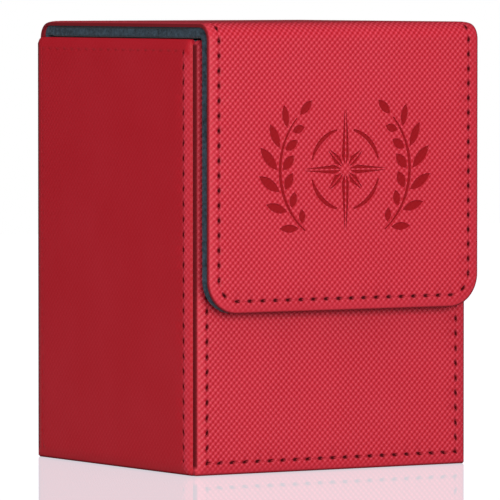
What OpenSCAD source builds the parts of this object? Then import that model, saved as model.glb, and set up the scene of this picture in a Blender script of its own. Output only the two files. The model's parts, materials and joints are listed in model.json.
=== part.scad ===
// Card deck box: a lined card tray in five leather-covered panels, closed by a
// lid and front flap that are one leather strip, glued in behind the tray.
// Millimetres. X is across the box, Y runs from the flap (-Y) to the hinge (+Y),
// Z is up. The origin is on the table, under the middle of the closed box.

/* [Box] */
// Width over the left and right panels
box_w = 78.3; // [72:0.1:90]
// Depth from the front panel's face to the back panel's face
box_d = 75.6; // [50:0.1:110]
// Height of the open box, to the rim
box_h = 102.8; // [100:0.1:112]
// How far the left and right panels stand out past the front and back panels
panel_step = 1.0; // [0.8:0.1:1.3]

/* [Covered panels] */
// Thickness of the leather
leather_t = 0.7; // [0.5:0.1:0.9]
// Thickness of the board inside a panel
panel_board_t = 1.0; // [0.8:0.1:1.5]
// Radius of a panel's turned edge
edge_r = 0.9; // [0.5:0.1:1.2]
// Slit between a side panel's edge and the front or back panel
corner_slit = 0.05; // [0.05:0.05:0.3]

/* [Tray] */
// Thickness of the tray's boards
tray_t = 1.5; // [1.5:0.1:2.5]
// Thickness of the microfibre lining
lining_t = 0.5; // [0.3:0.1:0.8]

/* [Lid and flap] */
// Height from the flap's lower edge up to the lid's top face
flap_drop = 68.6; // [50:0.1:85]
// Radius of the flap's two lower corners
flap_corner_r = 8; // [5:0.5:15]
// Thickness of the leather layer where it is stiffened
shell_t = 1.4; // [1.2:0.1:1.8]
// Thickness of the lining layer of the lid and flap
pad_layer_t = 2.1; // [1.9:0.1:3]
// Gap between the rim and the lid's lining
rim_gap = 0.7; // [0.4:0.1:1.5]
// Gap between the front panel and the flap's lining
flap_gap = 1.9; // [1:0.1:3]
// Inner radius of the fold and the hinge
bend_r = 0.7; // [0.5:0.1:1]
// Length of the flexible strip behind the front fold, and below it
fold_run = 5.7; // [5:0.1:8]
// Length of the flexible strip in front of the hinge bend
hinge_run = 2.9; // [2:0.1:6]
// How far the tail reaches down behind the tray
tail_len = 60; // [30:1:90]

/* [Magnets] */
// Diameter of a disc magnet
magnet_d = 10; // [6:0.5:12]
// Thickness of a disc magnet
magnet_t = 1.4; // [1:0.1:1.4]
// Distance between the two magnets of a pair
magnet_pitch = 40; // [20:1:55]
// Height of the magnets above the flap's lower edge
magnet_rise = 10; // [8:0.5:20]

/* [Stitching] */
// Distance from a panel's edge to its row of stitches
stitch_margin = 3.1; // [2.5:0.1:4.5]
// Width of the groove that the thread lies in
thread_w = 0.4; // [0.3:0.05:0.6]
// Depth of that groove
thread_t = 0.25; // [0.15:0.05:0.35]

/* [Hidden] */
$fn = 48;
panel_t = leather_t + panel_board_t;
layers_t = shell_t + pad_layer_t;
strip_w = box_w - 2 * panel_step;
total_d = box_d + flap_gap + layers_t;
lid_top = box_h + rim_gap + layers_t;
rim_clear = box_h + rim_gap;

// Planes across the depth, front to back
flap_face_y = -total_d / 2;
front_y = flap_face_y + layers_t + flap_gap;
back_y = front_y + box_d;
back_panel_in = back_y - panel_t;
tray_y0 = front_y + panel_t;
tray_y1 = back_panel_in - leather_t - lining_t;

// The tray and its cavity
tray_x = box_w / 2 - panel_t;
tray_z0 = panel_t;
wall_top = box_h - lining_t;
floor_top = tray_z0 + tray_t;

// The side panels lie between the front and back panels' inner planes
side_y0 = front_y + panel_t + corner_slit;
side_y1 = back_y - panel_t - corner_slit;

// Bend centres of the fold and the hinge
bend_out = layers_t + bend_r;
bend_z = lid_top - bend_out;
fold_y = flap_face_y + bend_out;
hinge_y = back_panel_in - bend_out;
lid_y0 = fold_y + fold_run;
lid_y1 = hinge_y - hinge_run;
flap_top = bend_z - fold_run;
flap_z0 = lid_top - flap_drop;
tail_x = tray_x - 0.1;
tail_z0 = box_h - tail_len;
pad_core_t = pad_layer_t - lining_t;
stiffener_t = shell_t - leather_t;

magnet_z = flap_z0 + magnet_rise;
magnet_clear = 0.1;
eps = 0.01;

RED = "#c83746";
SLATE = "#3f4955";
GREYBOARD = "#8c8578";
CORE = "#2b2b2e";
THREAD = "#a01f2c";
NICKEL = "#c9c9c6";

// ---- shared shapes ----

// A box given by its lowest and highest corners
module span(lo, hi) {
    translate(lo) cube([hi[0] - lo[0], hi[1] - lo[1], hi[2] - lo[2]]);
}

// Section of a slab: lies from -w/2 to w/2, outer face on y = 0, with both
// outer corners rounded
module slab_section(w, t, r) {
    translate([-w / 2, r]) square([w, t - r]);
    translate([-w / 2 + r, 0]) square([w - 2 * r, t]);
    for (s = [-1, 1]) translate([s * (w / 2 - r), r]) circle(r = r);
}

// Upright slab in its own frame: X centred, Z from 0 to h, outer face on y = 0
// and facing -Y, all four outer edges rounded
module slab(w, h, t, r) {
    intersection() {
        linear_extrude(h) slab_section(w, t, r);
        translate([-w / 2 - 1, 0, h / 2]) rotate([90, 0, 90])
            linear_extrude(w + 2) rotate(90) mirror([0, 1]) slab_section(h, t, r);
    }
}

// Row of stitches around a panel as one thread. lower_run adds the run along the
// lower edge; without it the side runs go down to just above that edge
module thread_loop(w, h, lower_run) {
    x = w / 2 - stitch_margin;
    z0 = lower_run ? stitch_margin : edge_r + 1;
    z1 = h - stitch_margin;
    half = thread_w / 2;
    for (s = [-1, 1])
        span([s * x - half, 0, z0 - half], [s * x + half, thread_t, z1 + half]);
    span([-x, 0, z1 - half], [x, thread_t, z1 + half]);
    if (lower_run) span([-x, 0, z0 - half], [x, thread_t, z0 + half]);
}

// Board inside a covered panel, in the panel's own frame
module panel_board(w, h) {
    span([-w / 2 + leather_t, leather_t, leather_t],
         [w / 2 - leather_t, panel_t, h - leather_t]);
}

// Leather of a covered panel: over the face and turned over all four edges
module panel_leather(w, h, stitched, lower_run) {
    difference() {
        slab(w, h, panel_t, edge_r);
        span([-w / 2 + leather_t, leather_t, leather_t],
             [w / 2 - leather_t, panel_t + 1, h - leather_t]);
        if (stitched) thread_loop(w, h, lower_run);
    }
}

// Places of the panels' own frames
module at_front() { translate([0, front_y, 0]) children(); }
module at_back() { translate([0, back_y, 0]) rotate(180) children(); }
module at_left() {
    translate([-box_w / 2, (side_y0 + side_y1) / 2, 0]) rotate(-90) children();
}
module at_right() {
    translate([box_w / 2, (side_y0 + side_y1) / 2, 0]) rotate(90) children();
}
module at_bottom() {
    translate([0, tray_y0, 0]) rotate([90, 0, 0]) mirror([0, 0, 1]) children();
}
end_w = strip_w;
side_w = side_y1 - side_y0;
bottom_w = 2 * tray_x;
bottom_h = back_panel_in - tray_y0;

module magnet_pair(d, y0, y1) {
    for (s = [-1, 1]) translate([s * magnet_pitch / 2, y1, magnet_z])
        rotate([90, 0, 0]) cylinder(d = d, h = y1 - y0);
}

// ---- card tray ----

module tray_floor_board() {
    color(GREYBOARD) span([-tray_x, tray_y0, tray_z0], [tray_x, tray_y1, floor_top]);
}

module tray_front_board() {
    color(GREYBOARD) difference() {
        span([-tray_x, tray_y0, floor_top], [tray_x, tray_y0 + tray_t, wall_top]);
        magnet_pair(magnet_d + 2 * magnet_clear, tray_y0 - 1, tray_y0 + tray_t + 1);
    }
}

module tray_back_board() {
    color(GREYBOARD)
        span([-tray_x, tray_y1 - tray_t, floor_top], [tray_x, tray_y1, wall_top]);
}

module tray_side_board(s) {
    color(GREYBOARD) translate([s * (tray_x - tray_t / 2), 0, 0])
        span([-tray_t / 2, tray_y0 + tray_t, floor_top],
             [tray_t / 2, tray_y1 - tray_t, wall_top]);
}
module tray_left_board() { tray_side_board(-1); }
module tray_right_board() { tray_side_board(1); }

module tray_magnets() {
    color(NICKEL) magnet_pair(magnet_d, tray_y0, tray_y0 + magnet_t);
}

// ---- tray lining, each wall piece folded over the rim ----

module lining_floor() {
    color(SLATE) span([-tray_x + tray_t, tray_y0 + tray_t, floor_top],
                      [tray_x - tray_t, tray_y1 - tray_t, floor_top + lining_t]);
}

// Lining of the front (inward = 1) or back (inward = -1) wall, from that wall's
// outer plane y
module lining_end(y, inward) {
    face = y + inward * tray_t;
    inner = face + inward * lining_t;
    z0 = floor_top + lining_t;
    x = tray_x - tray_t;
    color(SLATE) {
        span([-x, min(face, inner), z0], [x, max(face, inner), box_h]);
        span([-tray_x, min(y, face), wall_top], [tray_x, max(y, face), box_h]);
    }
}
module lining_front() { lining_end(tray_y0, 1); }
module lining_back() { lining_end(tray_y1, -1); }

module lining_side(s) {
    inner = s * (tray_x - tray_t - lining_t);
    face = s * (tray_x - tray_t);
    rim = s * tray_x;
    y0 = tray_y0 + tray_t + lining_t;
    y1 = tray_y1 - tray_t - lining_t;
    color(SLATE) {
        span([min(inner, face), y0, floor_top + lining_t], [max(inner, face), y1, box_h]);
        span([min(face, rim), tray_y0 + tray_t, wall_top],
             [max(face, rim), tray_y1 - tray_t, box_h]);
    }
}
module lining_left() { lining_side(-1); }
module lining_right() { lining_side(1); }

// ---- covered panels ----

module bottom_panel_board() { color(GREYBOARD) at_bottom() panel_board(bottom_w, bottom_h); }
module bottom_panel_leather() {
    color(RED) at_bottom() panel_leather(bottom_w, bottom_h, false, false);
}

module front_panel_board() { color(GREYBOARD) at_front() panel_board(end_w, box_h); }
module front_panel_leather() { color(RED) at_front() panel_leather(end_w, box_h, true, true); }
module front_panel_stitching() { color(THREAD) at_front() thread_loop(end_w, box_h, true); }

module back_panel_board() { color(GREYBOARD) at_back() panel_board(end_w, box_h); }
module back_panel_leather() { color(RED) at_back() panel_leather(end_w, box_h, true, true); }
module back_panel_stitching() { color(THREAD) at_back() thread_loop(end_w, box_h, true); }

module left_panel_board() { color(GREYBOARD) at_left() panel_board(side_w, box_h); }
module left_panel_leather() { color(RED) at_left() panel_leather(side_w, box_h, true, false); }
module left_panel_stitching() { color(THREAD) at_left() thread_loop(side_w, box_h, false); }

module right_panel_board() { color(GREYBOARD) at_right() panel_board(side_w, box_h); }
module right_panel_leather() { color(RED) at_right() panel_leather(side_w, box_h, true, false); }
module right_panel_stitching() { color(THREAD) at_right() thread_loop(side_w, box_h, false); }

// ---- tail: the strip's end, glued between the tray and the back panel ----

module tail_leather() {
    color(RED) span([-tail_x, back_panel_in - leather_t, tail_z0],
                    [tail_x, back_panel_in, box_h]);
}
module tail_lining() {
    color(SLATE) span([-tail_x, tray_y1, tail_z0],
                      [tail_x, back_panel_in - leather_t, box_h]);
}

// Solid across the strip's width from a section drawn in the Y-Z plane
module across(w) {
    translate([-w / 2, 0, 0]) rotate([90, 0, 90]) linear_extrude(w) children();
}

// ---- hinge: from the tail over the bend to the lid ----

module hinge_leather() {
    color(RED) across(strip_w) {
        intersection() {
            translate([hinge_y, bend_z]) difference() {
                circle(r = bend_out);
                circle(r = bend_out - leather_t);
            }
            translate([hinge_y, box_h]) square(bend_out + 1);
        }
        translate([lid_y1, lid_top - leather_t]) square([hinge_run, leather_t]);
    }
}

module hinge_lining() {
    color(SLATE) across(strip_w) {
        intersection() {
            translate([hinge_y, bend_z]) circle(r = bend_out - leather_t);
            union() {
                translate([hinge_y, rim_clear]) square(bend_out);
                translate([tray_y1, box_h]) square(bend_out);
            }
        }
        translate([lid_y1, rim_clear]) square([hinge_run, layers_t - leather_t]);
    }
}

// ---- lid ----

module lid_leather() {
    x = strip_w / 2;
    color(RED) difference() {
        span([-x, lid_y0, lid_top - shell_t], [x, lid_y1, lid_top]);
        lid_stiffener_shape();
        lid_thread_shape();
    }
}
module lid_stiffener_shape() {
    x = strip_w / 2 - leather_t;
    span([-x, lid_y0 - eps, lid_top - shell_t - eps],
         [x, lid_y1 + eps, lid_top - leather_t]);
}
module lid_thread_shape() {
    for (s = [-1, 1]) translate([s * (strip_w / 2 - stitch_margin), 0, 0])
        span([-thread_w / 2, lid_y0 - eps, lid_top - thread_t],
             [thread_w / 2, lid_y1 + eps, lid_top + eps]);
}
module lid_stiffener() {
    x = strip_w / 2 - leather_t;
    color(GREYBOARD) span([-x, lid_y0, lid_top - shell_t], [x, lid_y1, lid_top - leather_t]);
}
module lid_stitching() {
    color(THREAD) for (s = [-1, 1]) translate([s * (strip_w / 2 - stitch_margin), 0, 0])
        span([-thread_w / 2, lid_y0, lid_top - thread_t],
             [thread_w / 2, lid_y1, lid_top]);
}
module lid_pad() {
    x = strip_w / 2 - lining_t;
    z1 = lid_top - shell_t;
    color(CORE) span([-x, lid_y0, z1 - pad_core_t], [x, lid_y1, z1]);
}
module lid_lining() {
    x = strip_w / 2;
    z1 = lid_top - shell_t;
    color(SLATE) difference() {
        span([-x, lid_y0, rim_clear], [x, lid_y1, z1]);
        span([-x + lining_t, lid_y0 - eps, z1 - pad_core_t],
             [x - lining_t, lid_y1 + eps, z1 + eps]);
    }
}

// ---- fold: from the lid down to the flap ----

module fold_leather() {
    color(RED) across(strip_w) {
        intersection() {
            translate([fold_y, bend_z]) difference() {
                circle(r = bend_out);
                circle(r = bend_out - leather_t);
            }
            translate([fold_y - bend_out - 1, bend_z]) square(bend_out + 1);
        }
        translate([fold_y, lid_top - leather_t]) square([fold_run, leather_t]);
        translate([flap_face_y, flap_top]) square([leather_t, fold_run]);
    }
}

module fold_lining() {
    t = layers_t - leather_t;
    color(SLATE) across(strip_w) {
        intersection() {
            translate([fold_y, bend_z]) difference() {
                circle(r = bend_out - leather_t);
                circle(r = bend_r);
            }
            translate([fold_y - bend_out, bend_z]) square(bend_out);
        }
        translate([fold_y, rim_clear]) square([fold_run, t]);
        translate([flap_face_y + leather_t, flap_top]) square([t, fold_run]);
    }
}

// ---- flap ----

// The flap's outline, drawn with its inset from the strip's edges
module flap_outline(inset) {
    x = strip_w / 2 - inset;
    r = flap_corner_r - inset;
    z0 = flap_z0 + inset;
    translate([-x, z0 + r]) square([2 * x, flap_top - z0 - r]);
    translate([-x + r, z0]) square([2 * (x - r), r]);
    for (s = [-1, 1]) translate([s * (x - r), z0 + r]) circle(r = r);
}
// A plate of that outline between two planes across the depth
module flap_plate(inset, y0, y1) {
    translate([0, y1, 0]) rotate([90, 0, 0]) linear_extrude(y1 - y0) flap_outline(inset);
}
// The run of thread along the flap's edge, drawn flat
module flap_thread_outline() {
    difference() {
        flap_outline(stitch_margin - thread_w / 2);
        flap_outline(stitch_margin + thread_w / 2);
    }
}
shell_in_y = flap_face_y + shell_t;
pad_in_y = flap_face_y + layers_t;

module flap_leather() {
    color(RED) difference() {
        flap_plate(0, flap_face_y, shell_in_y);
        intersection() {
            flap_plate(leather_t, flap_face_y + leather_t, shell_in_y + 1);
            span([-strip_w, -total_d, 0], [strip_w, total_d, flap_top + 1]);
        }
        translate([0, flap_face_y + thread_t, 0]) rotate([90, 0, 0])
            linear_extrude(thread_t + 1) flap_thread_outline();
    }
}
module flap_stiffener() {
    color(GREYBOARD) flap_plate(leather_t, flap_face_y + leather_t, shell_in_y);
}
module flap_stitching() {
    color(THREAD) translate([0, flap_face_y + thread_t, 0]) rotate([90, 0, 0])
        linear_extrude(thread_t) flap_thread_outline();
}
module flap_pad() {
    color(CORE) difference() {
        flap_plate(lining_t, shell_in_y, shell_in_y + pad_core_t);
        magnet_pair(magnet_d + 2 * magnet_clear, shell_in_y - 1, pad_in_y);
    }
}
module flap_lining() {
    color(SLATE) difference() {
        flap_plate(0, shell_in_y, pad_in_y);
        flap_plate(lining_t, shell_in_y - 1, shell_in_y + pad_core_t);
    }
}
module flap_magnets() {
    color(NICKEL) magnet_pair(magnet_d, pad_in_y - lining_t - magnet_t, pad_in_y - lining_t);
}

tray_floor_board();
tray_front_board();
tray_back_board();
tray_left_board();
tray_right_board();
tray_magnets();
lining_floor();
lining_front();
lining_back();
lining_left();
lining_right();
bottom_panel_board();
bottom_panel_leather();
front_panel_board();
front_panel_leather();
front_panel_stitching();
back_panel_board();
back_panel_leather();
back_panel_stitching();
left_panel_board();
left_panel_leather();
left_panel_stitching();
right_panel_board();
right_panel_leather();
right_panel_stitching();
tail_leather();
tail_lining();
hinge_leather();
hinge_lining();
lid_leather();
lid_stiffener();
lid_pad();
lid_lining();
lid_stitching();
fold_leather();
fold_lining();
flap_leather();
flap_stiffener();
flap_pad();
flap_lining();
flap_stitching();
flap_magnets();
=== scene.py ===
import json
import math

import bmesh
import bpy
from bpy.props import FloatProperty, FloatVectorProperty, IntProperty, PointerProperty
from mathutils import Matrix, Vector
from mathutils.geometry import delaunay_2d_cdt


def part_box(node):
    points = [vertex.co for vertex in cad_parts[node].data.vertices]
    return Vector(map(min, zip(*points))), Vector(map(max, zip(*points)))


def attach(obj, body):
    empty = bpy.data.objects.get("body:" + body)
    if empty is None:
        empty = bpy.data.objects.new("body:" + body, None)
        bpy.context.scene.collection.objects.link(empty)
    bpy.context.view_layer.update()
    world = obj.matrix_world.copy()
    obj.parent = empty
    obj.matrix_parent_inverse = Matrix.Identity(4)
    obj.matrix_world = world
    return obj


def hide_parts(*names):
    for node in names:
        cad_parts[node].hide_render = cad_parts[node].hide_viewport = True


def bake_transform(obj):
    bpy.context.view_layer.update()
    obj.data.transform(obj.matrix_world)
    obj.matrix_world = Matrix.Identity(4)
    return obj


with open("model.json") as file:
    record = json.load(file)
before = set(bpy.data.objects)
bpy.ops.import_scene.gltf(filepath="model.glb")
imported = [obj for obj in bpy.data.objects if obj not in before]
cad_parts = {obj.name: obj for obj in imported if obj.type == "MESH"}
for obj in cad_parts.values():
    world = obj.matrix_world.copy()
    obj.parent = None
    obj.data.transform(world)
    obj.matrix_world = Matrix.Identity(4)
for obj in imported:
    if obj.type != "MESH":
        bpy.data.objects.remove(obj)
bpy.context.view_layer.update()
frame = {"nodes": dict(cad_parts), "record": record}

bl_info = {
    "name": "Card Deck Box",
    "version": (1, 0, 0),
    "blender": (4, 5, 0),
    "location": "View3D > Sidebar > Deck Box",
    "description": "Grained leather, microfibre lining and stitching for a flip-top card deck box",
    "category": "Object",
}

# Flat patterns are drawn in millimetres and placed in metres.
MM = 0.001


def node_box(node):
    """Lowest and highest corner of a CAD node, in millimetres."""
    low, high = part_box(node)
    return low / MM, high / MM


def clamp(t):
    """A number kept between 0 and 1."""
    return min(1.0, max(0.0, t))


def smooth(t):
    """Runs from 0 to 1 with soft ends."""
    t = clamp(t)
    return t * t * (3 - 2 * t)


def near(distance, start, run):
    """0 beyond start, rising to 1 over the run as the distance shrinks."""
    return clamp((start - distance) / run)


def hex_to_linear(text):
    """Linear red, green and blue of an sRGB hex colour."""
    channels = [int(text[i:i + 2], 16) / 255 for i in (1, 3, 5)]
    return tuple(c / 12.92 if c <= 0.04045 else ((c + 0.055) / 1.055) ** 2.4 for c in channels)


# ---- sizes read from the frame, in millimetres ----

FRONT_LOW, FRONT_HIGH = node_box("front_panel_leather")
BACK_HIGH = node_box("back_panel_leather")[1]
LEFT_LOW, LEFT_HIGH = node_box("left_panel_leather")
BOTTOM_LOW, BOTTOM_HIGH = node_box("bottom_panel_leather")
PANEL_T = FRONT_HIGH.y - FRONT_LOW.y
BOX_H = FRONT_HIGH.z
BOARD_INSET = node_box("front_panel_board")[0].x - FRONT_LOW.x
SEAM_INSET = node_box("front_panel_stitching")[0].x - FRONT_LOW.x

TAIL_LOW, TAIL_HIGH = node_box("tail_leather")
HINGE_LOW, HINGE_HIGH = node_box("hinge_leather")
LID_LOW, LID_HIGH = node_box("lid_leather")
FOLD_LOW = node_box("fold_leather")[0]
FLAP_LOW, FLAP_HIGH = node_box("flap_leather")
LID_LINING_LOW = node_box("lid_lining")[0]
TAIL_LINING_LOW = node_box("tail_lining")[0]

STRIP_HALF = LID_HIGH.x
BEND_R = LID_HIGH.z - HINGE_LOW.z
SHELL_T = LID_HIGH.z - LID_LOW.z
LAYERS_T = LID_HIGH.z - LID_LINING_LOW.z
LEATHER_T = TAIL_HIGH.y - TAIL_LOW.y
TAIL_LAYERS_T = TAIL_HIGH.y - TAIL_LINING_LOW.y
LINING_T = LAYERS_T - SHELL_T
# Radius of the flap's two lower corners
FLAP_CORNER = 8.0
# Length over which the strip widens and thickens as it comes out of the slot at the rim
RIM_STEP = 0.35
# How far the side panels' leather stands above their boards' height
SIDE_RISE = 0.25


# ---- properties ----

class DeckBoxLeather(bpy.types.PropertyGroup):
    """Colours and grain of the embossed leather"""
    # The crest colour is partly the grain's own tone and partly a painted highlight on the bumps
    crest_and_highlight: FloatVectorProperty(
        name="Crest", description="Colour on top of the grain's bumps", subtype="COLOR",
        default=hex_to_linear("#C93F50"), min=0, max=1)
    valley: FloatVectorProperty(
        name="Valley", description="Colour between the bumps", subtype="COLOR",
        default=hex_to_linear("#9F0E1C"), min=0, max=1)
    # Colour of the painted shade in needle holes, slits, along the panels' feet and where the lid's
    # leather turns under
    hole_shade: FloatVectorProperty(
        name="Needle hole", description="Colour inside the needle holes", subtype="COLOR",
        default=hex_to_linear("#480004"), min=0, max=1)
    emblem: FloatVectorProperty(
        name="Emblem", description="Colour of the hot-pressed emblem", subtype="COLOR",
        default=hex_to_linear("#860812"), min=0, max=1)
    cell_across: FloatProperty(
        name="Grain width", description="Width of one cell of the grain, in millimetres",
        default=1.46, min=0.5, max=4)
    cell_along: FloatProperty(
        name="Grain height", description="Height of one cell of the grain, in millimetres",
        default=1.50, min=0.5, max=4)
    depth: FloatProperty(
        name="Grain depth", description="Height of the grain's bumps, in millimetres",
        default=0.13, min=0, max=0.5)
    roughness: FloatProperty(
        name="Roughness", description="Roughness of the leather's clear finish",
        default=0.42, min=0, max=1)


class DeckBoxEdges(bpy.types.PropertyGroup):
    """How the leather turns over the edges of its boards"""
    panel_drop: FloatProperty(
        name="Panel edge drop", description="How far a panel's face falls at its edge, in millimetres",
        default=1.1, min=0.2, max=1.4)
    strip_drop: FloatProperty(
        name="Lid edge drop", description="How far the lid's face falls at its edge, in millimetres",
        default=0.65, min=0.2, max=1.0)
    panel_corner: FloatProperty(
        name="Panel corner", description="Radius of the panels' upper corners, in millimetres",
        default=1.3, min=0.3, max=4)
    panel_foot: FloatProperty(
        name="Panel foot", description="Radius of the panels' lower corners, in millimetres",
        default=0.4, min=0.2, max=4)


class DeckBoxSewing(bpy.types.PropertyGroup):
    """Rows of lockstitch"""
    pitch: FloatProperty(
        name="Stitch length", description="Distance between needle holes, in millimetres",
        default=3.55, min=1.5, max=8)
    thread: FloatProperty(
        name="Thread", description="Thickness of the thread, in millimetres",
        default=0.3, min=0.1, max=1)
    thread_color: FloatVectorProperty(
        name="Thread colour", description="Colour of the thread", subtype="COLOR",
        default=hex_to_linear("#A81E2E"), min=0, max=1)
    groove: FloatProperty(
        name="Groove", description="How deep the thread pulls the leather in, in millimetres",
        default=0.13, min=0, max=0.4)
    hole_depth: FloatProperty(
        name="Hole depth", description="Depth of a needle hole, in millimetres",
        default=0.45, min=0, max=0.6)


class DeckBoxLining(bpy.types.PropertyGroup):
    """Microfibre lining"""
    color: FloatVectorProperty(
        name="Colour", description="Colour of the microfibre", subtype="COLOR",
        default=hex_to_linear("#243039"), min=0, max=1)
    nap: FloatProperty(
        name="Nap", description="Size of the nap's tufts, in millimetres",
        default=0.85, min=0.1, max=3)
    inset: FloatProperty(
        name="Inset", description="How far the lining stops short of the leather, in millimetres",
        default=0.05, min=0, max=1.5)


class DeckBoxEmblem(bpy.types.PropertyGroup):
    """Star and leaf sprays pressed into the flap"""
    height: FloatProperty(
        name="Height", description="Height of the emblem's centre, in millimetres",
        default=72.0, min=55, max=90)
    scale: FloatProperty(
        name="Scale", description="Size of the emblem against its drawing",
        default=1.0, min=0.5, max=1.3)
    depth: FloatProperty(
        name="Depth", description="How deep the emblem is pressed, in millimetres",
        default=0.22, min=0, max=0.5)
    star_points: IntProperty(
        name="Star points", description="Number of long points on the star", default=4, min=3, max=8)
    leaves: IntProperty(
        name="Leaves", description="Pairs of leaves on each spray", default=6, min=2, max=12)


class DeckBoxStage(bpy.types.PropertyGroup):
    """Camera, floor and lights"""
    azimuth: FloatProperty(
        name="Azimuth", description="Camera's turn from straight in front, towards the left",
        default=math.radians(31.9), subtype="ANGLE")
    elevation: FloatProperty(
        name="Elevation", description="Camera's height angle", default=math.radians(2.47),
        subtype="ANGLE")
    distance: FloatProperty(
        name="Distance", description="Camera's distance from its aim point, in metres",
        default=1.526, min=0.3, max=5, unit="LENGTH")
    focal_length: FloatProperty(
        name="Focal length", description="Lens, in millimetres, on a 36 mm sensor",
        default=451.0, min=50, max=1000)
    key_power: FloatProperty(
        name="Key power", description="Power of the big front softbox, in watts",
        default=11.2, min=0, max=200)
    side_power: FloatProperty(
        name="Side power", description="Power of the softbox on the left, in watts",
        default=5.5, min=0, max=200)
    top_power: FloatProperty(
        name="Top power", description="Power of the overhead softbox, in watts",
        default=2.5, min=0, max=200)
    sky: FloatProperty(
        name="Surround", description="Brightness of the studio around the box",
        default=0.3, min=0, max=3)


GROUPS = {
    "deck_leather": DeckBoxLeather,
    "deck_edges": DeckBoxEdges,
    "deck_sewing": DeckBoxSewing,
    "deck_lining": DeckBoxLining,
    "deck_emblem": DeckBoxEmblem,
    "deck_stage": DeckBoxStage,
}


# ---- materials ----

def new_material(name):
    material = bpy.data.materials.new(name)
    material.use_nodes = True
    material.node_tree.nodes.clear()
    return material, material.node_tree


# Settings of the Math nodes, and of the Mix nodes that mix two colours
ADD = {"operation": "ADD"}
SUBTRACT = {"operation": "SUBTRACT"}
MULTIPLY = {"operation": "MULTIPLY"}
DIVIDE = {"operation": "DIVIDE"}
MULTIPLY_ADD = {"operation": "MULTIPLY_ADD"}
POWER = {"operation": "POWER"}
COSINE = {"operation": "COSINE"}
MAXIMUM = {"operation": "MAXIMUM"}
COLORS = {"data_type": "RGBA"}
FLAT_NOISE = {"noise_dimensions": "2D"}


def add(tree, kind, settings=None, **links):
    """Adds a node, sets its properties from settings, and sets or links its inputs.

    An input is named by its label with spaces as underscores, or as in_0, in_1 and so on. Its value
    is a number, a colour, the socket that feeds it, or the node whose first output feeds it.
    """
    made = tree.nodes.new(kind)
    for key, value in (settings or {}).items():
        setattr(made, key, value)
    for key, value in links.items():
        name = int(key[3:]) if key.startswith("in_") else key.replace("_", " ")
        socket = made.inputs[name]
        if isinstance(value, bpy.types.Node):
            value = value.outputs[0]
        if isinstance(value, bpy.types.NodeSocket):
            tree.links.new(value, socket)
        else:
            socket.default_value = value
    return made


def rgba(color):
    return (*color, 1.0)


def grain_wave(tree, u, v, sign, across, along):
    """One of the two crossing ribs of the grain, from 0 in the valley to 1 on the crest."""
    cells_u = add(tree, "ShaderNodeMath", DIVIDE, in_0=u, in_1=across)
    cells_v = add(tree, "ShaderNodeMath", DIVIDE, in_0=v, in_1=sign * along)
    cells = add(tree, "ShaderNodeMath", ADD, in_0=cells_u, in_1=cells_v)
    turns = add(tree, "ShaderNodeMath", MULTIPLY, in_0=cells, in_1=math.tau)
    wave = add(tree, "ShaderNodeMath", COSINE, in_0=turns)
    return add(tree, "ShaderNodeMath", MULTIPLY_ADD, in_0=wave, in_1=0.5, in_2=0.5)


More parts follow.
